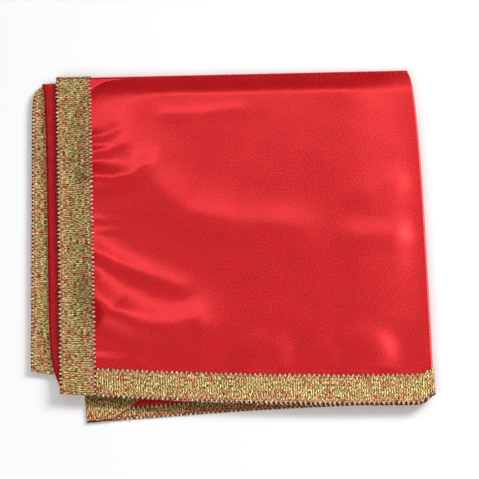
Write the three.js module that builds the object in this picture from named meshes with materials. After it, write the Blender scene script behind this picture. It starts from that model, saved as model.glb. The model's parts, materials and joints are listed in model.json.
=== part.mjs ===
// A square satin cloth with a metallic lace border, folded in four and lying flat.
// Millimetres, +Z up, the folded bundle centred on the origin and standing on z = 0.
// The cloth is folded twice: its right half goes behind its left half (the right-hand fold), and
// then its top half goes behind its bottom half (the top fold). That gives four layers:
//   layer 1, on top, and layer 2 below it are the front half of the cloth,
//   layer 3 and layer 4, at the bottom, are the back half, which joins the front at the top fold.
// The bright face of the cloth is up on layers 1 and 3 and down on layers 2 and 4.
import * as THREE from 'three';

// Thicknesses and gaps
const SATIN_THICKNESS = 0.4;
const LACE_THICKNESS = 0.8;
const THREAD_THICKNESS = 0.4;
const THREAD_WIDTH = 0.6;
const CONTACT_GAP = 0.25;      // between two pieces that touch
const HALVES_GAP = 0.3;        // from the plane between the halves to either half
const AIR_GAP = 1.6;           // between two layers of satin, wrong side to wrong side

// The border
const SIDE_LACE_WIDTH = 25;     // along the side edges of the cloth
const CROSS_LACE_WIDTH = 21.5; // along its foot edges
const BUTT_GAP = 0.3;          // between the end of a cross lace and the side of an upright one
const SEAM_INSET = 2;          // from either edge of a lace to its row of stitches

// The quarter of the cloth that lies flat in each layer, from fold to edge
const LEG = 262;

// Plan points of the folded bundle, [x, y]
const FOLDS_CROSS = [138.4, 136];
const OUTER_FOLD_END = [-125.6, 136];
const INNER_FOLD_END = [-136.4, 133.4];
const FRONT_FOLD_FOOT = [142.6, -135.2];
const BACK_FOLD_FOOT = [141.6, -131.8];
const CORNER_1 = [-121.4, -121.4];
const CORNER_2 = [-119, -118.6];
const CORNER_3 = [-142.6, -101];
const CORNER_4 = [-102.7, -141];

// How the edges bend in plan
const FOLD_BOW = 4;            // how far the side fold bulges, most of all near its top
const LAYER_2_LEAN = 7;        // how far the layer's side edge leans in before its corner
const LAYER_2_CURL_POWER = 16; // how late that edge turns towards its corner
const LAYER_3_BULGE = 7.6;     // how far the layer's side edge swings out past its fold
const LAYER_3_BULGE_REACH = 0.02;
const FOOT_POWER = 1.9;        // how late a foot edge turns towards its free corner

// Mesh density
const LEG_STEPS = 8;
const SIDE_FOLD_STEPS = 6;
const TOP_FOLD_STEPS = 3;
const BULGE_STATION = 10;      // one more bend behind the top fold, where layer 3 swings out

// Worked out from the sizes above
const FACE_DEPTH = SATIN_THICKNESS / 2;
const LACE_BACK_DEPTH = FACE_DEPTH + CONTACT_GAP;
const LACE_FRONT_DEPTH = LACE_BACK_DEPTH + LACE_THICKNESS;
const THREAD_TOP_DEPTH = -FACE_DEPTH - CONTACT_GAP;
const THREAD_LOW_DEPTH = THREAD_TOP_DEPTH - THREAD_THICKNESS;
const SIDE_FOLD_RADIUS = (AIR_GAP + SATIN_THICKNESS) / 2;
const TOP_FOLD_RADIUS = HALVES_GAP + LACE_FRONT_DEPTH + SIDE_FOLD_RADIUS;
const MID_HEIGHT = TOP_FOLD_RADIUS + SIDE_FOLD_RADIUS + LACE_FRONT_DEPTH;
const SIDE_FOLD_LENGTH = SIDE_FOLD_RADIUS * Math.PI / 2;
const TOP_FOLD_LENGTH = TOP_FOLD_RADIUS * Math.PI / 2;
// The halves part where their innermost satin would cross the plane between them.
const SPLIT_SINE = HALVES_GAP / (TOP_FOLD_RADIUS - SIDE_FOLD_RADIUS - FACE_DEPTH);
const SPLIT_LENGTH = TOP_FOLD_RADIUS * Math.asin(SPLIT_SINE);
const CLOTH_EDGE_U = SIDE_FOLD_LENGTH + LEG;
const CLOTH_EDGE_V = TOP_FOLD_LENGTH + LEG;
const INNER_LACE_U = CLOTH_EDGE_U - SIDE_LACE_WIDTH;
const INNER_LACE_V = CLOTH_EDGE_V - CROSS_LACE_WIDTH;

const mix = (a, b, t) => a + (b - a) * t;

// How far a layer's side edge has swung in x at t, from its fold (0) to its foot (1).
const noSwing = () => 0;
const swingIn = (t) => LAYER_2_LEAN * Math.sqrt(t);
const swingOut = (t) => -LAYER_3_BULGE * (1 - Math.exp(-t / LAYER_3_BULGE_REACH));

function sideEdge(layer, t) {
  const rest = layer.corner[0] - layer.foldEnd[0] - layer.swing(1);
  return [
    layer.foldEnd[0] + layer.swing(t) + rest * t ** layer.curlPower,
    mix(layer.foldEnd[1], layer.corner[1], t),
  ];
}

// The side fold of a layer at t, from the top fold (0) to its foot (1).
function foldEdge(layer, t) {
  return [
    mix(FOLDS_CROSS[0], layer.foldFoot[0], t) + FOLD_BOW * Math.sin(Math.PI * Math.sqrt(t)),
    mix(FOLDS_CROSS[1], layer.foldFoot[1], t),
  ];
}

// One layer's foot edge at s, from the side fold (0) to its free corner (1).
function footEdge(layer, s) {
  return [
    mix(layer.foldFoot[0], layer.corner[0], s),
    mix(layer.foldFoot[1], layer.corner[1], s ** FOOT_POWER),
  ];
}

// A Coons patch over the four edges of a layer: s runs away from the side fold, t from the top.
function planPoint(layer, s, t) {
  const side = sideEdge(layer, t);
  const fold = foldEdge(layer, t);
  const foot = footEdge(layer, s);
  return [0, 1].map((k) => {
    const cross = FOLDS_CROSS[k];
    const across = mix(fold[k], side[k], s);
    const along = mix(mix(cross, layer.foldEnd[k], s), foot[k], t);
    const corners = mix(mix(cross, layer.foldEnd[k], s),
      mix(layer.foldFoot[k], layer.corner[k], s), t);
    return across + along - corners;
  });
}

// The outer layer of each half comes first.
const LAYERS = {
  front: [
    {
      foldEnd: OUTER_FOLD_END,
      foldFoot: FRONT_FOLD_FOOT,
      corner: CORNER_1,
      swing: noSwing,
      curlPower: 1,
    },
    {
      foldEnd: INNER_FOLD_END,
      foldFoot: FRONT_FOLD_FOOT,
      corner: CORNER_2,
      swing: swingIn,
      curlPower: LAYER_2_CURL_POWER,
    },
  ],
  back: [
    {
      foldEnd: OUTER_FOLD_END,
      foldFoot: BACK_FOLD_FOOT,
      corner: CORNER_4,
      swing: noSwing,
      curlPower: 1,
    },
    {
      foldEnd: INNER_FOLD_END,
      foldFoot: BACK_FOLD_FOOT,
      corner: CORNER_3,
      swing: swingOut,
      curlPower: 1,
    },
  ],
};

// A point of the folded cloth. u is the distance from the side fold, negative on the outer
// layers (1 and 4) and positive on the inner ones (2 and 3). v is the distance from the top
// fold. depth is the height above the middle of the satin, on its bright face.
function foldedPoint(half, u, v, depth) {
  const outer = u < 0;
  const sideAngle = Math.min(Math.abs(u) / SIDE_FOLD_LENGTH, 1) * Math.PI / 2;
  const topAngle = Math.min(v / TOP_FOLD_LENGTH, 1) * Math.PI / 2;
  const s = Math.max(Math.abs(u) - SIDE_FOLD_LENGTH, 0) / LEG;
  const t = Math.max(v - TOP_FOLD_LENGTH, 0) / LEG;
  const sideRadius = SIDE_FOLD_RADIUS + depth;
  const lift = (outer ? 1 : -1) * sideRadius * Math.sin(sideAngle);
  const topRadius = TOP_FOLD_RADIUS + lift;
  const [x, y] = planPoint(LAYERS[half][outer ? 0 : 1], s, t);
  const height = topRadius * Math.sin(topAngle) * (half === 'front' ? 1 : -1);
  return new THREE.Vector3(
    x + sideRadius * Math.cos(sideAngle),
    y + topRadius * Math.cos(topAngle),
    MID_HEIGHT + height,
  );
}

// Values from start to end that include each bend between them.
function stations(start, end, bends) {
  const low = Math.min(start, end);
  const high = Math.max(start, end);
  const inside = bends.filter((value) => value > low + 1e-6 && value < high - 1e-6);
  return [low, ...inside, high];
}

function evenSteps(from, to, count) {
  return Array.from({ length: count + 1 }, (_, i) => mix(from, to, i / count));
}

// Every piece bends at the same places, the lace's inner edges among them, so that pieces that
// lie on or beside each other keep their gaps.
const U_BENDS = [
  ...evenSteps(-INNER_LACE_U, -SIDE_FOLD_LENGTH, LEG_STEPS),
  ...evenSteps(-SIDE_FOLD_LENGTH, SIDE_FOLD_LENGTH, SIDE_FOLD_STEPS).slice(1, -1),
  ...evenSteps(SIDE_FOLD_LENGTH, INNER_LACE_U, LEG_STEPS),
];
const V_BENDS = [
  ...evenSteps(SPLIT_LENGTH, TOP_FOLD_LENGTH, TOP_FOLD_STEPS),
  TOP_FOLD_LENGTH + BULGE_STATION,
  ...evenSteps(TOP_FOLD_LENGTH, INNER_LACE_V, LEG_STEPS).slice(1),
];

// A closed sheet over a stretch of the folded cloth, between two depths.
function sheetGeometry(half, uRange, vRange, lowDepth, highDepth) {
  const us = stations(...uRange, U_BENDS);
  const vs = stations(...vRange, V_BENDS);
  const points = [];
  for (const depth of [lowDepth, highDepth]) {
    for (const v of vs) {
      for (const u of us) {
        points.push(foldedPoint(half, u, v, depth));
      }
    }
  }
  const at = (i, j, k) => k * us.length * vs.length + j * us.length + i;
  const faces = [];
  const quad = (a, b, c, d) => faces.push(a, b, c, a, c, d);
  for (let j = 0; j + 1 < vs.length; j += 1) {
    for (let i = 0; i + 1 < us.length; i += 1) {
      quad(at(i, j, 1), at(i + 1, j, 1), at(i + 1, j + 1, 1), at(i, j + 1, 1));
      quad(at(i, j, 0), at(i, j + 1, 0), at(i + 1, j + 1, 0), at(i + 1, j, 0));
    }
  }
  const lastU = us.length - 1;
  const lastV = vs.length - 1;
  for (let i = 0; i < lastU; i += 1) {
    quad(at(i, 0, 0), at(i + 1, 0, 0), at(i + 1, 0, 1), at(i, 0, 1));
    quad(at(i, lastV, 1), at(i + 1, lastV, 1), at(i + 1, lastV, 0), at(i, lastV, 0));
  }
  for (let j = 0; j < lastV; j += 1) {
    quad(at(0, j, 1), at(0, j + 1, 1), at(0, j + 1, 0), at(0, j, 0));
    quad(at(lastU, j, 0), at(lastU, j + 1, 0), at(lastU, j + 1, 1), at(lastU, j, 1));
  }
  return outwardGeometry(points, faces);
}

// Turns the faces the other way round when they enclose a negative volume.
function outwardGeometry(points, faces) {
  let volume = 0;
  for (let i = 0; i < faces.length; i += 3) {
    const [a, b, c] = [0, 1, 2].map((k) => points[faces[i + k]]);
    volume += a.dot(new THREE.Vector3().crossVectors(b, c)) / 6;
  }
  const geometry = new THREE.BufferGeometry().setFromPoints(points);
  geometry.setIndex(volume > 0 ? faces : faces.slice().reverse());
  return geometry;
}

const MATERIALS = {
  satin: { color: 0xd62b31, roughness: 0.38, metalness: 0 },
  lace: { color: 0xb08d55, roughness: 0.45, metalness: 0.7 },
  thread: { color: 0xa9763a, roughness: 0.6, metalness: 0 },
};

const group = new THREE.Group();

function addPiece(name, material, geometry) {
  const mesh = new THREE.Mesh(geometry, new THREE.MeshStandardMaterial(MATERIALS[material]));
  mesh.name = name;
  group.add(mesh);
}

// A lace and its two rows of stitches. A lace runs along u or along v, and span is its width
// across that direction, the edge of the cloth last.
function addLace(name, half, runsAlong, run, span) {
  const ranges = (across) => (runsAlong === 'v' ? [across, run] : [run, across]);
  addPiece(`lace_${name}`, 'lace',
    sheetGeometry(half, ...ranges(span), LACE_BACK_DEPTH, LACE_FRONT_DEPTH));
  const outward = Math.sign(span[1] - span[0]);
  const rows = {
    inner: span[0] + outward * SEAM_INSET,
    outer: span[1] - outward * SEAM_INSET,
  };
  for (const [row, middle] of Object.entries(rows)) {
    const across = [middle - THREAD_WIDTH / 2, middle + THREAD_WIDTH / 2];
    addPiece(`seam_${name}_${row}`, 'thread',
      sheetGeometry(half, ...ranges(across), THREAD_LOW_DEPTH, THREAD_TOP_DEPTH));
  }
}

for (const half of ['front', 'back']) {
  addPiece(`satin_${half}_half`, 'satin', sheetGeometry(half,
    [-CLOTH_EDGE_U, CLOTH_EDGE_U], [SPLIT_LENGTH, CLOTH_EDGE_V], -FACE_DEPTH, FACE_DEPTH));
  // The left lace lies on the outer layers and turns the top fold with them. The right lace
  // lies inside the top fold, where its two lengths meet flat.
  addLace(`left_${half}`, half, 'v',
    [SPLIT_LENGTH, CLOTH_EDGE_V], [-INNER_LACE_U, -CLOTH_EDGE_U]);
  addLace(`right_${half}`, half, 'v',
    [TOP_FOLD_LENGTH, CLOTH_EDGE_V], [INNER_LACE_U, CLOTH_EDGE_U]);
  const reach = INNER_LACE_U - BUTT_GAP;
  addLace(half === 'front' ? 'bottom' : 'top', half, 'u',
    [-reach, reach], [INNER_LACE_V, CLOTH_EDGE_V]);
}

// Centre the bundle in plan; it already stands on z = 0.
const box = new THREE.Box3().setFromObject(group);
const centre = box.getCenter(new THREE.Vector3());
group.position.set(-centre.x, -centre.y, 0);

export default group;
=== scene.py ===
"""A square satin cloth with a metallic lace border, folded in four: the looks around its CAD frame.

Cloth coordinates, in metres: u is the distance from the right-hand fold, negative on the outer
layers (1 and 4) and positive on the inner ones (2 and 3). v is the distance from the top fold,
negative on the front half (layers 1 and 2) and positive on the back half (layers 3 and 4).
Layer 1 is on top. The bright face is up on layers 1 and 3 and down on layers 2 and 4.
"""

import json
import math

import bpy
import numpy as np
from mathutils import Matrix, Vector


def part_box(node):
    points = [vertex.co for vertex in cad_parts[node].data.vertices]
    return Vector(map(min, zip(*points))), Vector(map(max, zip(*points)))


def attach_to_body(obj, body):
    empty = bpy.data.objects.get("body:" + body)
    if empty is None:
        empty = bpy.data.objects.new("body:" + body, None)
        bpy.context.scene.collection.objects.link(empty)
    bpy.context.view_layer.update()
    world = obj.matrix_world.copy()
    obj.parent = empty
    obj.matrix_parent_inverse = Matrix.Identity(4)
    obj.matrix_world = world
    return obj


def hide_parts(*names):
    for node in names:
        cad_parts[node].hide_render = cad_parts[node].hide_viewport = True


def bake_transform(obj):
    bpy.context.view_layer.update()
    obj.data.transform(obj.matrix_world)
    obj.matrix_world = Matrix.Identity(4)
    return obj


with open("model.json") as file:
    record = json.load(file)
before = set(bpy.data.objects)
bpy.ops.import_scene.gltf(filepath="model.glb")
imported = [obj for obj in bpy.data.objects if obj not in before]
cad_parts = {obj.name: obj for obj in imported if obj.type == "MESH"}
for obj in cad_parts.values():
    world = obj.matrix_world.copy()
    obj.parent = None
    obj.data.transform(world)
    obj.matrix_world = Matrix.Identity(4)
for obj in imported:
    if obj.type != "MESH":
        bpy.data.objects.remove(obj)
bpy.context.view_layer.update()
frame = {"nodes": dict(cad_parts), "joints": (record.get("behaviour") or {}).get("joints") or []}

MM = 0.001

# ---------------------------------------------------------------- sizes shared with the CAD part
SIDE_LACE_WIDTH = 25 * MM
CROSS_LACE_WIDTH = 21.5 * MM
LACE_BACK_DEPTH = 0.45 * MM
SIDE_FOLD_RADIUS = 1.0 * MM
TOP_FOLD_RADIUS = 2.55 * MM
SEAM_INSET = 2 * MM
BUTT_GAP = 0.3 * MM
LEG = 262 * MM
BEAD_PITCH = 3.45 * MM
RIB_PITCH = BEAD_PITCH / 2
FOLD_TO_HINGE = 4.9 * MM         # from the centre of the top fold's bend to the hinge line
FOLD_BOW = 4 * MM                # how far the side fold bulges, most of all near its top
LAYER_2_LEAN = 7 * MM            # how far layer 2's side edge leans in before its corner
LAYER_2_CURL_POWER = 16          # how late that edge turns towards its corner
LAYER_3_BULGE = 7.6 * MM         # how far layer 3's side edge swings out past its fold
LAYER_3_BULGE_REACH = 0.02       # the share of the edge over which it does so
FOOT_POWER = 1.9                 # how late a foot edge turns towards its free corner
FOOT_ROUNDING = 7 * MM           # how far the foot is drawn up at the folded corner
ROUNDING_REACH = 0.045           # the share of the foot over which it is drawn up

hinge = frame["joints"][0]["pos_m"]
MID_HEIGHT = hinge[2]
TOP_FOLD_Y = hinge[1] - FOLD_TO_HINGE
BOX_LOW = {name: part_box(name)[0] for name in frame["nodes"]}

SIDE_FOLD_LENGTH = SIDE_FOLD_RADIUS * math.pi / 2
TOP_FOLD_LENGTH = TOP_FOLD_RADIUS * math.pi / 2
EDGE_U = SIDE_FOLD_LENGTH + LEG
EDGE_V = TOP_FOLD_LENGTH + LEG
INNER_U = EDGE_U - SIDE_LACE_WIDTH
INNER_V = EDGE_V - CROSS_LACE_WIDTH

# Plan points of the bundle are in the CAD part's own millimetres, before it is centred
PLAN_TOP = 136                   # the top fold
PLAN_OUTER_LEFT = -125.6         # the left end of the fold on the outer layers
SHIFT_X = BOX_LOW["lace_left_front"].x - PLAN_OUTER_LEFT * MM


def plan_point(x, y):
    """A plan point in metres, shifted to where the frame has it."""
    return (x * MM + SHIFT_X, y * MM + TOP_FOLD_Y - PLAN_TOP * MM)


FOLDS_CROSS = plan_point(138.4, PLAN_TOP)
OUTER_FOLD_END = plan_point(PLAN_OUTER_LEFT, PLAN_TOP)
INNER_FOLD_END = plan_point(-136.4, 133.4)
FRONT_FOLD_FOOT = plan_point(142.6, -135.2)
BACK_FOLD_FOOT = plan_point(141.6, -131.8)
CORNER_1 = plan_point(-121.4, -121.4)
CORNER_2 = plan_point(-119, -118.6)
CORNER_3 = plan_point(-142.6, -101)
CORNER_4 = plan_point(-102.7, -141)


# ---------------------------------------------------------------- the folded shape
def mix(a, b, t):
    return a + (b - a) * t


def smooth(t):
    t = np.clip(t, 0, 1)
    return t * t * (3 - 2 * t)


def no_swing(t):
    return 0 * t


def swing_in(t):
    return LAYER_2_LEAN * np.sqrt(t)


def swing_out(t):
    return -LAYER_3_BULGE * (1 - np.exp(-t / LAYER_3_BULGE_REACH))


# fold end, fold foot, free corner, how the side edge swings in x, how late it curls to its corner
LAYERS = {
    1: (OUTER_FOLD_END, FRONT_FOLD_FOOT, CORNER_1, no_swing, 1),
    2: (INNER_FOLD_END, FRONT_FOLD_FOOT, CORNER_2, swing_in, LAYER_2_CURL_POWER),
    3: (INNER_FOLD_END, BACK_FOLD_FOOT, CORNER_3, swing_out, 1),
    4: (OUTER_FOLD_END, BACK_FOLD_FOOT, CORNER_4, no_swing, 1),
}


def plan(number, s, t):
    """A Coons patch over a layer's four edges: s runs away from the side fold, t from the top."""
    end, foot, corner, swing, curl_power = LAYERS[number]
    rest = corner[0] - end[0] - swing(1.0)
    side = (end[0] + swing(t) + rest * t ** curl_power, mix(end[1], corner[1], t))
    fold = (mix(FOLDS_CROSS[0], foot[0], t) + FOLD_BOW * np.sin(math.pi * np.sqrt(t)),
            mix(FOLDS_CROSS[1], foot[1], t))
    foot_edge = (mix(foot[0], corner[0], s), mix(foot[1], corner[1], s ** FOOT_POWER))
    place = []
    for k in range(2):
        cross = FOLDS_CROSS[k]
        across = mix(fold[k], side[k], s)
        along = mix(mix(cross, end[k], s), foot_edge[k], t)
        corners = mix(mix(cross, end[k], s), mix(foot[k], corner[k], s), t)
        place.append(across + along - corners)
    drawn = np.clip(1 - s / ROUNDING_REACH, 0, 1) ** 2 * t ** 6
    place[1] = place[1] + FOOT_ROUNDING * drawn
    return place


def layer_masks(u, v):
    outer, front = u < 0, v < 0
    return {1: outer & front, 2: ~outer & front, 3: ~outer & ~front, 4: outer & ~front}


def folded(u, v, depth):
    """Points of the folded cloth before its puckers. depth is above the middle of the satin."""
    side_angle = np.clip(np.abs(u) / SIDE_FOLD_LENGTH, 0, 1) * math.pi / 2
    top_angle = np.clip(np.abs(v) / TOP_FOLD_LENGTH, 0, 1) * math.pi / 2
    s = np.clip((np.abs(u) - SIDE_FOLD_LENGTH) / LEG, 0, None)
    t = np.clip((np.abs(v) - TOP_FOLD_LENGTH) / LEG, 0, None)
    side_radius = SIDE_FOLD_RADIUS + depth
    top_radius = TOP_FOLD_RADIUS + np.where(u < 0, 1, -1) * side_radius * np.sin(side_angle)
    x, y = np.zeros_like(u), np.zeros_like(u)
    for number, mask in layer_masks(u, v).items():
        x[mask], y[mask] = plan(number, s[mask], t[mask])
    x = x + side_radius * np.cos(side_angle)
    y = y + top_radius * np.cos(top_angle)
    z = MID_HEIGHT + top_radius * np.sin(top_angle) * np.where(v < 0, 1, -1)
    return np.stack([x, y, z], axis=-1)


# ---------------------------------------------------------------- puckers and swells
# Ridges on layer 1, in plan millimetres: the points along the crest, how far the slope behind
# the crest reaches, how far the slope before it does, and the height. The first group runs in
# from the left lace, which is shorter than the satin it gathers.
LACE_PUCKERS = [
    ([(-104, 83), (-90, 84), (-81, 89)], 8.0, 5.0, 2.8),
    ([(-104, 70), (-89, 71), (-77, 76)], 9.0, 5.0, 3.2),
    ([(-104, 50), (-86, 47), (-70, 50), (-60, 58)], 14.0, 8.0, 5.2),
    ([(-104, 17), (-78, 14)], 3.6, 3.2, 0.6),
    ([(-104, 6), (-78, 6)], 3.6, 3.2, 0.6),
    ([(-104, -7), (-83, -21), (-57, -33), (-36, -42)], 10.0, 9.0, 3.0),
    ([(-104, -43), (-88, -60), (-64, -72), (-44, -75), (-26, -70)], 17.0, 12.0, 7.0),
    ([(-104, -61), (-84, -61)], 5.0, 4.0, 1.3),
    ([(-104, -83), (-82, -81)], 6.0, 4.5, 1.6),
    ([(-104, -95), (-79, -97), (-71, -95), (-64, -102)], 7.0, 4.5, 1.8),
    ([(-104, -103), (-62, -105)], 5.0, 4.0, 1.2),
]
BROAD_RIDGES = [
    ([(-84, 84), (-72, 68), (-54, 42), (-32, 20), (9, 9), (47, 5)], 15.0, 26.0, 1.7),
    ([(-45, 103), (-19, 103), (10, 106)], 3.5, 7.0, 0.4),
    ([(95, -5), (126, -2)], 15.0, 18.0, 1.5),
    ([(100, -27), (126, -24)], 12.0, 18.0, 0.9),
    ([(106, 32), (128, 40)], 14.0, 18.0, 1.2),
]
RIDGE_POWER = 1.6                # a ridge's sides are straighter than a bell curve's
PUCKER_TAPER = 0.5               # how much of a pucker's height is lost by its far end
MERGE_POWER = 3                  # ridges that meet merge rather than add up
# Pillows above the bottom lace: centre, radius, height, and how flat the top is
PILLOWS = [
    ((22, -97), 20.0, 1.9, 1.8),
    ((66, -101), 17.0, 1.9, 1.6),
    ((69, -102), 7.0, 0.9, 1.0),
    ((95, -97), 21.0, 2.1, 1.8),
    ((90, -107), 7.0, 0.9, 1.0),
]
TOP_SWELL = 5.4 * MM             # how far layer 1 stands up behind its top fold
SWELL_REACH = 17 * MM            # from the fold to its crest
SWELL_POWER = 1.5                # its side is nearly straight and rounds over at the crest
SWELL_CORNER = 3.5 * MM          # how roundly the swell turns into its sides
SWELL_SINK = 0.5                 # how much of it is left towards the foot
SWELL_FOOT = 45 * MM             # the stretch above the bottom lace where it dies away
SWELL_CUT = ((-92, 103), (-73, 123))     # its ridge at the left, in plan millimetres
CUT_REACH = 24 * MM              # from there down to the corner
UNDER_LACE = 17 * MM             # how far puckers and swell run on under the side lace
LACE_PULL = 0.35                 # how gently the swell falls towards that lace
PUCKER_EASE = 22 * MM            # the stretch over which a pucker starts, from there
SWELL_AT_FOLD = 0.4              # how much of it reaches the side fold
SWELL_SIDE = 55 * MM             # the stretch beside that fold where it dies away
WAVE_HEIGHT = 0.09 * MM          # slack in layers 2 to 4, which stay clear of the hinge line
WAVE_PITCH = 38 * MM
CRINKLE_HEIGHT = 0.03 * MM
CRINKLE_PITCH = 9 * MM
SLACK_1_HEIGHT = 0.10 * MM       # slack in layer 1
SLACK_1_PITCH = 45 * MM
LIFT_4 = 0.35 * MM               # how far layer 4 stands off the table
TOP_EASE = 10 * MM               # the stretches beside the folds, the laces and the bottom lace
SIDE_EASE = 24 * MM              # over which the lifts begin
LACE_EASE = 12 * MM
BOTTOM_EASE = 5 * MM


def ridge(x, y, crest, behind, before, height, taper=0.0):
    """A rounded ridge along a line of points, steeper before its crest; its ends are round."""
    nearest = np.full_like(x, np.inf)
    signed = np.zeros_like(x)
    travel = np.zeros_like(x)
    gone = 0.0
    for start, end in zip(crest[:-1], crest[1:]):
        (x0, y0), (x1, y1) = np.array(start) * MM, np.array(end) * MM
        length = math.hypot(x1 - x0, y1 - y0)
        dx, dy = (x1 - x0) / length, (y1 - y0) / length
        along = np.clip((x - x0) * dx + (y - y0) * dy, 0, length)
        away_x, away_y = x - x0 - along * dx, y - y0 - along * dy
        away = np.hypot(away_x, away_y)
        side = dx * away_y - dy * away_x
        closer = away < nearest
        nearest = np.where(closer, away, nearest)
        signed = np.where(closer, side / np.maximum(away, 1e-9), signed)
        travel = np.where(closer, gone + along, travel)
        gone += length
    reach = mix(before, behind, smooth(signed / 2 + 0.5)) * MM
    left = 1 - taper * smooth(travel / gone)
    return height * MM * left * np.exp(-(nearest / reach) ** RIDGE_POWER)


def soft_noise(x, y, pitch, seed):
    """A sum of plane waves in seeded directions: smooth, and the same every run."""
    rng = np.random.default_rng(seed)
    total = np.zeros_like(x)
    waves = 14
    for _ in range(waves):
        angle, phase = rng.uniform(0, 2 * math.pi, 2)
        wavelength = pitch * rng.uniform(0.6, 1.7)
        k = 2 * math.pi / wavelength
        total += np.sin(k * (x * math.cos(angle) + y * math.sin(angle)) + phase)
    return total / math.sqrt(waves)


def top_ridges(u, x, y):
    """The puckers, broad ridges and pillows of layer 1, merged."""
    total = np.zeros_like(u)
    start = smooth((UNDER_LACE + INNER_U - np.abs(u)) / PUCKER_EASE)
    for crest, behind, before, height in LACE_PUCKERS:
        pucker = ridge(x, y, crest, behind, before, height, PUCKER_TAPER)
        total += (pucker * start) ** MERGE_POWER
    for crest, behind, before, height in BROAD_RIDGES:
        total += ridge(x, y, crest, behind, before, height) ** MERGE_POWER
    for (cx, cy), radius, height, flatness in PILLOWS:
        reach = ((x - cx * MM) ** 2 + (y - cy * MM) ** 2) / (radius * MM) ** 2
        total += (height * MM * np.exp(-reach ** flatness)) ** MERGE_POWER
    return total ** (1 / MERGE_POWER)


def top_swell(u, x, y, from_top, from_side, to_lace_v):
    """The swell behind the top fold, which falls away at its cut corner, the lace and the foot."""
    (x0, y0), (x1, y1) = np.array(SWELL_CUT) * MM
    cut_length = math.hypot(x1 - x0, y1 - y0)
    from_cut = ((x - x0) * (y1 - y0) - (y - y0) * (x1 - x0)) / cut_length + CUT_REACH
    from_cut = from_cut * SWELL_REACH / CUT_REACH
    near = np.exp(-from_top / SWELL_CORNER) + np.exp(-from_cut / SWELL_CORNER)
    near = near + np.exp(-LACE_PULL * (UNDER_LACE + INNER_U - np.abs(u)) / SWELL_CORNER)
    inset = np.clip(-np.log(near) * SWELL_CORNER / SWELL_REACH, 0, 1)
    sink = mix(SWELL_SINK, 1, smooth(to_lace_v / INNER_V)) * smooth(to_lace_v / SWELL_FOOT)
    sink = sink * mix(SWELL_AT_FOLD, 1, smooth(from_side / SWELL_SIDE))
    return TOP_SWELL * (1 - (1 - inset) ** SWELL_POWER) * sink


def rise(u, v, points):
    """How far each point of the cloth is lifted by puckers, swells and slack."""
    x, y = points[..., 0], points[..., 1]
    masks = layer_masks(u, v)
    lift = np.zeros_like(u)
    from_top = np.clip((np.abs(v) - TOP_FOLD_LENGTH), 0, None)
    from_side = np.clip((np.abs(u) - SIDE_FOLD_LENGTH), 0, None)
    to_lace_u = np.clip(INNER_U - np.abs(u), 0, None)
    to_lace_v = np.clip(INNER_V - np.abs(v), 0, None)
    free = smooth(to_lace_u / LACE_EASE) * smooth(to_lace_v / LACE_EASE)
    at_folds = smooth(from_top / TOP_EASE) * smooth(from_side / SIDE_EASE)

    top = top_ridges(u, x, y) + SLACK_1_HEIGHT * soft_noise(x, y, SLACK_1_PITCH, 3)
    swell = top_swell(u, x, y, from_top, from_side, to_lace_v)
    layer = masks[1]
    lift[layer] = (top * at_folds * smooth(to_lace_v / BOTTOM_EASE) + swell)[layer]

    for number, seed in ((2, 11), (3, 12), (4, 13)):
        layer = masks[number]
        wave = WAVE_HEIGHT * soft_noise(x, y, WAVE_PITCH, seed) * free
        crinkle = CRINKLE_HEIGHT * soft_noise(x, y, CRINKLE_PITCH, seed + 20)
        lift[layer] = ((wave + crinkle) * at_folds)[layer]
    layer = masks[2]
    lift[layer] += (swell * np.exp(-from_side / SWELL_REACH))[layer]
    layer = masks[4]
    lift[layer] = np.clip(lift[layer] + LIFT_4 * at_folds[layer], 0, None)
    return lift


def cloth(u, v, depth):
    """Points of the finished cloth shape, depth above the middle of the satin."""
    u, v, depth = np.broadcast_arrays(np.asarray(u, float), np.asarray(v, float),
                                      np.asarray(depth, float))
    points = folded(u, v, depth)
    points[..., 2] += rise(u, v, points)
    return points


# ---------------------------------------------------------------- mesh helpers
TABLE_CLEARANCE = 0.01 * MM      # the lowest that any point may lie


def link(obj):
    bpy.context.scene.collection.objects.link(obj)
    return obj


def mesh_object(name, points, faces, materials, weave=None):
    """A mesh from points and quads, with each point's place on the flat cloth as an attribute."""
    mesh = bpy.data.meshes.new(name)
    points = np.array(points, np.float32).reshape(-1, 3)
    points[:, 2] = np.maximum(points[:, 2], TABLE_CLEARANCE)
    faces = np.asarray(faces, np.int32)
    mesh.vertices.add(len(points))
    mesh.vertices.foreach_set("co", points.ravel())
    mesh.loops.add(faces.size)
    mesh.loops.foreach_set("vertex_index", faces.ravel())
    mesh.polygons.add(len(faces))
    sides = faces.shape[1]
    mesh.polygons.foreach_set("loop_start", np.arange(0, faces.size, sides, dtype=np.int32))
    mesh.polygons.foreach_set("loop_total", np.full(len(faces), sides, np.int32))
    mesh.update(calc_edges=True)
    mesh.validate()
    mesh.polygons.foreach_set("use_smooth", np.ones(len(mesh.polygons), bool))
    if weave is not None:
        attribute = mesh.attributes.new("weave", "FLOAT_VECTOR", "POINT")
        attribute.data.foreach_set("vector", np.asarray(weave, np.float32).ravel())
    for material in materials:
        mesh.materials.append(material)
    return link(bpy.data.objects.new(name, mesh))


def grid_faces(rows, columns):
    i, j = np.meshgrid(np.arange(columns - 1), np.arange(rows - 1))
    a = (j * columns + i).ravel()
    return np.stack([a, a + 1, a + columns + 1, a + columns], axis=1)


def spaced(low, high, step):
    return np.linspace(low, high, max(2, int(round((high - low) / step)) + 1))


def joined(*parts):
    """Sample values end to end, without doubles."""
    values = np.concatenate(parts)
    return values[np.concatenate([[True], np.diff(values) > 1e-7])]


# ---------------------------------------------------------------- materials
def new_material(name):
    material = bpy.data.materials.new(name)
    material.use_nodes = True
    nodes = material.node_tree.nodes
    return material, nodes, material.node_tree.links, nodes["Principled BSDF"]


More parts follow.
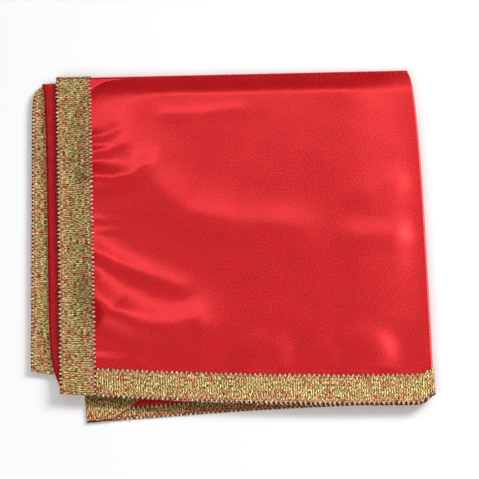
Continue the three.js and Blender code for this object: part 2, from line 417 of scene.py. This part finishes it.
def weave_place(nodes):
    node = nodes.new("ShaderNodeAttribute")
    node.attribute_name = "weave"
    return node.outputs["Vector"]


def noise(nodes, links, place, scale, detail=2.0, stretch=(1, 1, 1)):
    mapping = nodes.new("ShaderNodeMapping")
    mapping.inputs["Scale"].default_value = stretch
    links.new(place, mapping.inputs["Vector"])
    node = nodes.new("ShaderNodeTexNoise")
    node.inputs["Scale"].default_value = scale
    node.inputs["Detail"].default_value = detail
    links.new(mapping.outputs["Vector"], node.inputs["Vector"])
    return node.outputs["Fac"]


def ramp(nodes, links, value, stops):
    node = nodes.new("ShaderNodeValToRGB")
    band = node.color_ramp
    while len(band.elements) < len(stops):
        band.elements.new(0.5)
    for element, (position, colour) in zip(band.elements, stops):
        element.position = position
        element.color = (*colour, 1)
    links.new(value, node.inputs["Fac"])
    return node.outputs["Color"]


def math_node(nodes, links, operation, a, b=None, c=None):
    node = nodes.new("ShaderNodeMath")
    node.operation = operation
    for k, value in enumerate((a, b, c)):
        if value is None:
            continue
        if isinstance(value, (int, float)):
            node.inputs[k].default_value = value
        else:
            links.new(value, node.inputs[k])
    return node.outputs[0]


def bump(nodes, links, height, distance, under=None):
    node = nodes.new("ShaderNodeBump")
    node.inputs["Distance"].default_value = distance
    node.inputs["Strength"].default_value = 1.0
    links.new(height, node.inputs["Height"])
    if under is not None:
        links.new(under, node.inputs["Normal"])
    return node.outputs["Normal"]


def multiplied(nodes, links, a, b):
    node = nodes.new("ShaderNodeMix")
    node.data_type = "RGBA"
    node.blend_type = "MULTIPLY"
    node.inputs["Factor"].default_value = 1.0
    links.new(a, node.inputs["A"])
    links.new(b, node.inputs["B"])
    return node.outputs["Result"]


def satin_face():
    material, nodes, links, shader = new_material("satin_face")
    place = weave_place(nodes)
    grain = noise(nodes, links, place, 700, 2.0, (0.8, 1.2, 1))
    cloud = noise(nodes, links, place, 60, 3.0)
    colour = ramp(nodes, links, cloud, [(0.3, (0.75, 0.006, 0.011)), (0.7, (0.84, 0.008, 0.014))])
    shade = ramp(nodes, links, grain, [(0.3, (0.93,) * 3), (0.7, (1.0,) * 3)])
    links.new(multiplied(nodes, links, colour, shade), shader.inputs["Base Color"])
    rough = math_node(nodes, links, "MULTIPLY_ADD", grain, 0.14, 0.20)
    links.new(rough, shader.inputs["Roughness"])
    shader.inputs["Metallic"].default_value = 0.5
    shader.inputs["Specular IOR Level"].default_value = 0.8
    links.new(bump(nodes, links, grain, 0.008 * MM), shader.inputs["Normal"])
    return material


def satin_back():
    material, nodes, links, shader = new_material("satin_back")
    place = weave_place(nodes)
    grain = noise(nodes, links, place, 900, 2.0)
    crinkle = noise(nodes, links, place, 160, 3.0)
    colour = ramp(nodes, links, crinkle, [(0.3, (0.36, 0.006, 0.008)), (0.7, (0.54, 0.012, 0.015))])
    links.new(colour, shader.inputs["Base Color"])
    shader.inputs["Roughness"].default_value = 0.6
    shader.inputs["Metallic"].default_value = 0.2
    shader.inputs["Specular IOR Level"].default_value = 0.2
    low = bump(nodes, links, crinkle, 0.9 * MM)
    links.new(bump(nodes, links, grain, 0.08 * MM, under=low), shader.inputs["Normal"])
    return material


def lace_gold():
    """Metallic weft over a dark ground: olive gold in the middle, copper towards the edges, with
    painted shade between the ribs and along each edge and painted glints on the threads.
    """
    material, nodes, links, shader = new_material("lace_gold")
    place = weave_place(nodes)
    split = nodes.new("ShaderNodeSeparateXYZ")
    links.new(place, split.inputs[0])
    thread = noise(nodes, links, place, 900, 2.0, (0.5, 1.5, 1))
    patch = noise(nodes, links, place, 150, 2.0, (0.8, 1.2, 1))
    glint = noise(nodes, links, place, 1300, 1.0)
    wander = noise(nodes, links, place, 500, 1.0)
    edge = math_node(nodes, links, "ABSOLUTE", split.outputs["X"])
    edge = math_node(nodes, links, "MULTIPLY", edge, 2 / SIDE_LACE_WIDTH)
    tone = math_node(nodes, links, "MULTIPLY_ADD", edge, 0.16, patch)
    hue = ramp(nodes, links, tone, [
        (0.40, (0.60, 0.51, 0.16)), (0.52, (0.73, 0.50, 0.18)),
        (0.62, (0.73, 0.39, 0.15)), (0.74, (0.62, 0.21, 0.09))])
    # Painted shade: the colour is darker in the gaps between the ribs, where the dark ground shows,
    # and full on the rib crests.
    row = math_node(nodes, links, "MULTIPLY_ADD", wander, 0.8, -0.4)
    row = math_node(nodes, links, "MULTIPLY_ADD", split.outputs["Y"], 1 / RIB_PITCH, row)
    row = math_node(nodes, links, "MULTIPLY", row, math.pi)
    row = math_node(nodes, links, "ABSOLUTE", math_node(nodes, links, "SINE", row))
    rib_gap_shade = ramp(nodes, links, row, [
        (0.10, (0.16, 0.09, 0.04)), (0.50, (0.75, 0.72, 0.66)), (0.85, (1.0, 1.0, 1.0))])
    # Painted highlight and shade: the top stops, brighter than white, paint glints on the threads, and
    # the near-black low stop paints shade between them.
    shade = ramp(nodes, links, thread, [
        (0.37, (0.06, 0.03, 0.02)), (0.45, (0.50, 0.45, 0.35)), (0.54, (1.0, 0.98, 0.92)),
        (0.63, (1.7, 1.9, 2.5))])
    # Painted shade: the outermost stretch of each edge is darkened, for the shade beneath and between
    # the edge knots.
    border = ramp(nodes, links, edge, [
        (0.90, (1.0, 1.0, 1.0)), (0.95, (0.28, 0.17, 0.10))])
    colour = multiplied(nodes, links, multiplied(nodes, links, hue, shade), rib_gap_shade)
    links.new(multiplied(nodes, links, colour, border), shader.inputs["Base Color"])
    shader.inputs["Metallic"].default_value = 0.6
    rough = math_node(nodes, links, "MULTIPLY_ADD", glint, 0.4, 0.22)
    links.new(rough, shader.inputs["Roughness"])
    low = bump(nodes, links, thread, 0.5 * MM)
    links.new(bump(nodes, links, glint, 0.3 * MM, under=low), shader.inputs["Normal"])
    return material


def plain_thread(name, dark, light, metallic, roughness):
    material, nodes, links, shader = new_material(name)
    coordinates = nodes.new("ShaderNodeTexCoord")
    twist = noise(nodes, links, coordinates.outputs["Object"], 1800, 2.0)
    tint = noise(nodes, links, coordinates.outputs["Object"], 300, 1.0)
    links.new(ramp(nodes, links, tint, [(0.35, dark), (0.65, light)]), shader.inputs["Base Color"])
    shader.inputs["Metallic"].default_value = metallic
    shader.inputs["Roughness"].default_value = roughness
    links.new(bump(nodes, links, twist, 0.2 * MM), shader.inputs["Normal"])
    return material


FACE = satin_face()
BACK = satin_back()
GOLD = lace_gold()
BEAD = plain_thread("lace_bead", (0.60, 0.33, 0.20), (0.92, 0.76, 0.58), 0.5, 0.35)
FILAMENT = plain_thread("lace_filament", (0.85, 0.70, 0.40), (1.0, 0.95, 0.80), 0.8, 0.25)
STITCH = plain_thread("stitch_thread", (0.24, 0.11, 0.04), (0.42, 0.23, 0.10), 0.0, 0.6)
BOBBIN = plain_thread("bobbin_thread", (0.38, 0.010, 0.012), (0.55, 0.020, 0.022), 0.0, 0.6)
# Painted shade: this thread is near black, so the overcast stitches also stand for the shade between
# the edge knots.
SHADE_DARK_THREAD = plain_thread("overcast_thread_painted_shade", (0.030, 0.016, 0.008), (0.10, 0.07, 0.03), 0.0, 0.7)

# ---------------------------------------------------------------- satin
FINE_STEP = 2.0 * MM             # on layer 1
COARSE_STEP = 3.4 * MM
FOLD_STEP = 0.45 * MM
FOLD_ZONE_U = 5 * MM
FOLD_ZONE_V = 9 * MM
CLOTH_THICKNESS = 0.3 * MM
EDGE_MARGIN = 0.7 * MM           # from the edge of the satin to the outer edge of its lace
TOP_LACE_OVERHANG = 8 * MM       # how far the top lace hangs past the satin
OVERHANG_FADE = 100 * MM         # the stretch of layer 3 over which that dies away
MARGIN_REACH = 50 * MM


def overhang(u, v):
    """How far the satin stops short of the foot edge: most along layer 4."""
    wide = mix(TOP_LACE_OVERHANG, EDGE_MARGIN, smooth(u / OVERHANG_FADE))
    return np.where(v < 0, EDGE_MARGIN, wide)


def make_satin():
    us = joined(spaced(-EDGE_U, -FOLD_ZONE_U, FINE_STEP), spaced(-FOLD_ZONE_U, FOLD_ZONE_U, FOLD_STEP),
                spaced(FOLD_ZONE_U, EDGE_U, COARSE_STEP))
    vs = joined(spaced(-EDGE_V, -FOLD_ZONE_V, FINE_STEP), spaced(-FOLD_ZONE_V, FOLD_ZONE_V, FOLD_STEP),
                spaced(FOLD_ZONE_V, EDGE_V, COARSE_STEP))
    u, v = np.meshgrid(us, vs)
    v = v - np.sign(v) * overhang(u, v) * smooth((np.abs(v) - EDGE_V) / MARGIN_REACH + 1)
    side_margin = np.where((u > 0) & (v < 0), 0, EDGE_MARGIN)
    u = u - np.sign(u) * side_margin * smooth((np.abs(u) - EDGE_U) / MARGIN_REACH + 1)
    weave = np.stack([u, v, np.zeros_like(u)], axis=-1)
    satin = mesh_object("satin_cloth", cloth(u, v, 0), grid_faces(len(vs), len(us)),
                        [FACE, BACK], weave)
    solid = satin.modifiers.new("thickness", "SOLIDIFY")
    solid.thickness = CLOTH_THICKNESS
    solid.offset = 0
    solid.material_offset = 1
    solid.material_offset_rim = 1
    return satin


satin = make_satin()

# ---------------------------------------------------------------- lace
RIB_HEIGHT = 0.16 * MM
WARP_PITCH = 1.6 * MM
WARP_HEIGHT = 0.06 * MM
EDGE_CORD_WIDTH = 1.2 * MM
EDGE_CORD_HEIGHT = 0.2 * MM
LACE_STEP = RIB_PITCH / 5
LACE_COLUMNS = 29
LACE_THICKNESS = 0.4 * MM
REACH_U = INNER_U - BUTT_GAP

# name: (along, run start, run end, inner edge, outer edge, width)
LACES = {
    "left": ("v", -EDGE_V, EDGE_V, -INNER_U, -EDGE_U, SIDE_LACE_WIDTH),
    "right": ("v", -EDGE_V, EDGE_V, INNER_U, EDGE_U, SIDE_LACE_WIDTH),
    "bottom": ("u", -REACH_U, REACH_U, -INNER_V, -EDGE_V, CROSS_LACE_WIDTH),
    "top": ("u", -REACH_U, REACH_U, INNER_V, EDGE_V, CROSS_LACE_WIDTH),
}


def lace_point(lace, run, across, depth):
    """A point of a lace: run along it, across from its inner edge (0) to its outer edge."""
    along, _, _, inner, outer, _ = LACES[lace]
    side = inner + across * math.copysign(1, outer - inner)
    return cloth(side, run, depth) if along == "v" else cloth(run, side, depth)


def lace_depth(run, across, width):
    """The woven relief: crosswise ribs, lengthwise warp and a raised cord along each edge."""
    ribs = np.abs(np.sin(math.pi * run / RIB_PITCH)) * RIB_HEIGHT
    warp = np.cos(2 * math.pi * across / WARP_PITCH) * WARP_HEIGHT
    edge = np.minimum(across, width - across)
    cord = EDGE_CORD_HEIGHT * np.exp(-((edge - EDGE_CORD_WIDTH) / (0.6 * MM)) ** 2)
    return LACE_BACK_DEPTH + LACE_THICKNESS + ribs + warp + cord


def make_lace(lace):
    _, start, end, _, _, width = LACES[lace]
    runs = spaced(start, end, LACE_STEP)
    across = np.linspace(0, width, LACE_COLUMNS)
    a, r = np.meshgrid(across, runs)
    points = lace_point(lace, r, a, lace_depth(r, a, width) - LACE_THICKNESS / 2)
    weave = np.stack([(a / width - 0.5) * SIDE_LACE_WIDTH, r, np.zeros_like(a)], axis=-1)
    band = mesh_object(f"lace_{lace}", points, grid_faces(len(runs), len(across)), [GOLD], weave)
    solid = band.modifiers.new("thickness", "SOLIDIFY")
    solid.thickness = LACE_THICKNESS
    solid.offset = 0
    return band


def solids_along(name, starts, ends, profile, sides, material):
    """Many short rods in one mesh: profile is (place along, radius) from end to end."""
    axis = ends - starts
    axis /= np.linalg.norm(axis, axis=1, keepdims=True)
    up = np.tile([0.0, 0.0, 1.0], (len(axis), 1))
    up[np.abs(axis[:, 2]) > 0.9] = (0, 1, 0)
    across = np.cross(axis, up)
    across /= np.linalg.norm(across, axis=1, keepdims=True)
    up = np.cross(across, axis)
    rings = []
    for place, radius in profile:
        centre = starts + (ends - starts) * place
        for k in range(sides):
            angle = 2 * math.pi * k / sides
            rings.append(centre + radius * (math.cos(angle) * across + math.sin(angle) * up))
    points = np.stack(rings, axis=1).reshape(-1, 3)
    faces = []
    for ring in range(len(profile) - 1):
        for k in range(sides):
            n = (k + 1) % sides
            faces.append([ring * sides + k, (ring + 1) * sides + k,
                          (ring + 1) * sides + n, ring * sides + n])
    faces = np.array(faces)
    per = len(profile) * sides
    every = (np.arange(len(starts)) * per)[:, None, None] + faces[None]
    return mesh_object(name, points, every.reshape(-1, 4), [material])


def knot_profile(radius):
    steps = 6
    return [(0.5 - 0.5 * math.cos(math.pi * k / steps),
             max(radius * math.sin(math.pi * k / steps), 0.02 * MM)) for k in range(steps + 1)]


def merged(name, objects):
    """One object out of several, with their own materials kept."""
    bpy.ops.object.select_all(action="DESELECT")
    for obj in objects:
        obj.select_set(True)
    bpy.context.view_layer.objects.active = objects[0]
    bpy.ops.object.join()
    objects[0].name = name
    return objects[0]


# Rows of thread knots: middle, from the near edge of the lace, half-length and radius
KNOT_ROWS = [
    (0.5 * MM, 1.1 * MM, 0.80 * MM),
    (3.1 * MM, 0.8 * MM, 0.50 * MM),
]


def make_beads(lace, seed):
    """Rows of thread knots along each edge of a lace."""
    rng = np.random.default_rng(seed)
    _, start, end, _, _, width = LACES[lace]
    count = int(round((end - start) / BEAD_PITCH))
    pitch = (end - start) / count
    knots = []
    for number, (middle, half, radius) in enumerate(KNOT_ROWS):
        for side in (-1, 1):
            runs = start + (np.arange(count) + 0.5 - 0.5 * number) * pitch
            runs = np.clip(runs + rng.normal(0, 0.2 * MM, count), start + radius, end - radius)
            centre = middle if side < 0 else width - middle
            centre = centre + rng.normal(0, 0.15 * MM, count)
            slant = rng.normal(0, 0.25 * MM, count)
            depth = LACE_BACK_DEPTH + 0.8 * LACE_THICKNESS
            knots.append(solids_along(
                f"knots_{lace}_{number}_{side}", lace_point(lace, runs - slant, centre - half, depth),
                lace_point(lace, runs + slant, centre + half, depth), knot_profile(radius), 8, BEAD))
    return merged(f"beads_{lace}", knots)


def make_filaments(lace, seed):
    """Loose bright strips of foil thread that lie slantwise over the weft."""
    rng = np.random.default_rng(seed)
    _, start, end, _, _, width = LACES[lace]
    count = int((end - start) / (1.1 * MM))
    runs = rng.uniform(start + 3 * MM, end - 3 * MM, count)
    across = rng.uniform(2.5 * MM, width - 2.5 * MM, count)
    angle = rng.uniform(-1.1, 1.1, count)
    half = rng.uniform(0.8, 1.9, count) * MM
    depth = LACE_BACK_DEPTH + LACE_THICKNESS + RIB_HEIGHT
    ends = []
    for sign in (-1, 1):
        ends.append(lace_point(lace, runs + sign * half * np.sin(angle),
                               across + sign * half * np.cos(angle), depth))
    profile = [(0, 0.04 * MM), (0.2, 0.16 * MM), (0.8, 0.16 * MM), (1, 0.04 * MM)]
    return solids_along(f"filaments_{lace}", ends[0], ends[1], profile, 4, FILAMENT)


# ---------------------------------------------------------------- stitches
STITCH_LENGTH = 2.6 * MM
STITCH_PITCH = 3.0 * MM
STITCH_RADIUS = 0.22 * MM


def make_seam(lace, row):
    """A row of lockstitches: thread on the lace and on the satin's wrong side."""
    _, start, end, _, _, width = LACES[lace]
    across = SEAM_INSET if row == "inner" else width - SEAM_INSET
    count = int((end - start) / STITCH_PITCH)
    runs = start + (np.arange(count) + 0.5) * (end - start) / count
    profile = [(0, 0.3 * STITCH_RADIUS), (0.15, STITCH_RADIUS), (0.85, STITCH_RADIUS),
               (1, 0.3 * STITCH_RADIUS)]
    rows = []
    for side, depth, material in (
            ("face", LACE_BACK_DEPTH + LACE_THICKNESS + RIB_HEIGHT, STITCH),
            ("wrong_side", -CLOTH_THICKNESS / 2 - 0.1 * MM, BOBBIN)):
        rows.append(solids_along(
            f"stitches_{lace}_{row}_{side}", lace_point(lace, runs - STITCH_LENGTH / 2, across, depth),
            lace_point(lace, runs + STITCH_LENGTH / 2, across, depth), profile, 6, material))
    return merged(f"stitches_{lace}_{row}", rows)


# ---------------------------------------------------------------- the corner of layer 4
SURPLUS_RUN = (0.4 * MM, 56 * MM)        # from the side edge, along the inner end of the surplus
SURPLUS_WIDTH = 25 * MM
SURPLUS_TURN = 22 * MM                   # from the foot edge to where its raw end starts to slant
SURPLUS_SLOPE = 1.7                      # how fast the raw end comes back towards the side edge
SURPLUS_DEPTH = -0.55 * MM
OVERCAST_RUN = (12 * MM, 205 * MM)       # from the side edge
OVERCAST_HALF = 1.15 * MM


def make_surplus():
    """The end of the lace, turned back over the wrong side at layer 4's corner."""
    from_foot = spaced(0.3 * MM, SURPLUS_WIDTH, LACE_STEP * 2)
    share = np.linspace(0, 1, 90)
    w, q = np.meshgrid(share, from_foot)
    reach = SURPLUS_RUN[1] - SURPLUS_SLOPE * np.clip(SURPLUS_TURN - q, 0, None)
    reach = reach + 0.5 * MM * soft_noise(q, 0 * q, 5 * MM, 71)
    run = mix(SURPLUS_RUN[0], reach, w)
    ribs = np.abs(np.sin(math.pi * run / RIB_PITCH)) * RIB_HEIGHT
    points = cloth(run - EDGE_U, EDGE_V - q, SURPLUS_DEPTH - ribs)
    weave = np.stack([q - SURPLUS_WIDTH / 2, run, np.zeros_like(q)], axis=-1)
    flap = mesh_object("lace_surplus", points, grid_faces(len(from_foot), len(share)), [GOLD], weave)
    solid = flap.modifiers.new("thickness", "SOLIDIFY")
    solid.thickness = LACE_THICKNESS
    solid.offset = 0
    return flap


def make_overcast():
    """Overcast stitches round the satin's edge where the lace hangs past it, knots between them; the
    stitches' near-black thread is painted shade between the knots.
    """
    count = int((OVERCAST_RUN[1] - OVERCAST_RUN[0]) / BEAD_PITCH)
    start = OVERCAST_RUN[0] - EDGE_U
    depth = -CLOTH_THICKNESS / 2 - 0.15 * MM
    rows = []
    # The near-black threads between the knots are partly painted shade.
    for name, offset, radius, material in (
            ("knots", 0.0, 0.62 * MM, BEAD), ("threads", 0.5, 0.75 * MM, SHADE_DARK_THREAD)):
        runs = start + (np.arange(count) + offset) * BEAD_PITCH
        edge = EDGE_V - overhang(runs, np.ones_like(runs))
        rows.append(solids_along(
            f"overcast_{name}", cloth(runs, edge - OVERCAST_HALF, depth),
            cloth(runs, edge + OVERCAST_HALF, depth), knot_profile(radius), 8, material))
    return merged("overcast_stitches", rows)


# ---------------------------------------------------------------- pieces, bodies and nodes
HALVES = {"left": ("front", "back"), "right": ("front", "back"), "bottom": (), "top": ()}
BODIES = {"bottom": "upper_half", "top": "lower_half"}


def attach(piece, lace):
    """A piece on a side lace bends across the top fold; the others ride on their half."""
    if lace in BODIES:
        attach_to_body(piece, BODIES[lace])
    else:
        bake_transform(piece)
    return piece


def nodes_of(kind, lace, row=""):
    ending = f"_{row}" if row else ""
    return [f"{kind}_{lace}_{half}{ending}" for half in HALVES[lace]] or [f"{kind}_{lace}{ending}"]


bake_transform(satin)
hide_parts("satin_front_half", "satin_back_half")
for seed, lace in enumerate(LACES):
    band = attach(make_lace(lace), lace)
    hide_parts(*nodes_of("lace", lace))
    attach(make_beads(lace, 60 + seed), lace)
    attach(make_filaments(lace, 40 + seed), lace)
    for row in ("inner", "outer"):
        seam = attach(make_seam(lace, row), lace)
        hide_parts(*nodes_of("seam", lace, row))
attach(make_surplus(), "top")
attach(make_overcast(), "top")

# ---------------------------------------------------------------- floor, light and camera
FLOOR_HALF = 6.0
floor_mesh = bpy.data.meshes.new("floor")
floor_mesh.from_pydata([(-FLOOR_HALF, -FLOOR_HALF, 0), (FLOOR_HALF, -FLOOR_HALF, 0),
                        (FLOOR_HALF, FLOOR_HALF, 0), (-FLOOR_HALF, FLOOR_HALF, 0)],
                       [], [(0, 1, 2, 3)])
floor = link(bpy.data.objects.new("floor", floor_mesh))
floor_material, _, _, floor_shader = new_material("floor_white")
floor_shader.inputs["Base Color"].default_value = (0.95, 0.95, 0.95, 1)
floor_shader.inputs["Roughness"].default_value = 0.9
floor_shader.inputs["Specular IOR Level"].default_value = 0.0
floor_mesh.materials.append(floor_material)


def area_light(name, place, target, size, watts):
    data = bpy.data.lights.new(name, "AREA")
    data.shape = "RECTANGLE"
    data.size, data.size_y = size
    data.energy = watts
    lamp = link(bpy.data.objects.new(name, data))
    lamp.location = place
    lamp.rotation_euler = (Vector(target) - Vector(place)).to_track_quat("-Z", "Y").to_euler()


CENTRE = (0.0, 0.0, 0.005)
area_light("key_upper_right", (1.44, 0.87, 1.41), CENTRE, (1.0, 1.0), 39)
area_light("overhead", (0.0, -0.12, 1.9), (0.0, -0.12, 0.0), (2.4, 2.3), 5.6)
area_light("back_strip", (-0.1, 1.32, 1.67), CENTRE, (2.4, 0.30), 6.0)
area_light("fill_front", (-0.6, -1.6, 1.6), CENTRE, (2.0, 1.2), 29)

world = bpy.data.worlds.new("studio")
world.use_nodes = True
world.node_tree.nodes["Background"].inputs["Color"].default_value = (1, 1, 1, 1)
world.node_tree.nodes["Background"].inputs["Strength"].default_value = 0.06
bpy.context.scene.world = world
bpy.context.scene.view_settings.view_transform = "Standard"

CAMERA_ELEVATION = math.radians(63)
CAMERA_TURN = math.radians(1.5)
CAMERA_DISTANCE = 1.9
VIEW_WIDTH = 349.67 * MM         # how much of the table the picture takes in
SENSOR = 36.0
TARGET = Vector((0.0082, -0.0018, 0.0085))

camera_data = bpy.data.cameras.new("camera")
camera_data.sensor_width = SENSOR
camera_data.lens = SENSOR * CAMERA_DISTANCE / VIEW_WIDTH
camera = link(bpy.data.objects.new("camera", camera_data))
away = Vector((-math.sin(CAMERA_TURN) * math.cos(CAMERA_ELEVATION),
               -math.cos(CAMERA_TURN) * math.cos(CAMERA_ELEVATION),
               math.sin(CAMERA_ELEVATION)))
camera.location = TARGET + CAMERA_DISTANCE * away
camera.rotation_euler = (-away).to_track_quat("-Z", "Y").to_euler()
bpy.context.scene.camera = camera

bpy.context.view_layer.update()
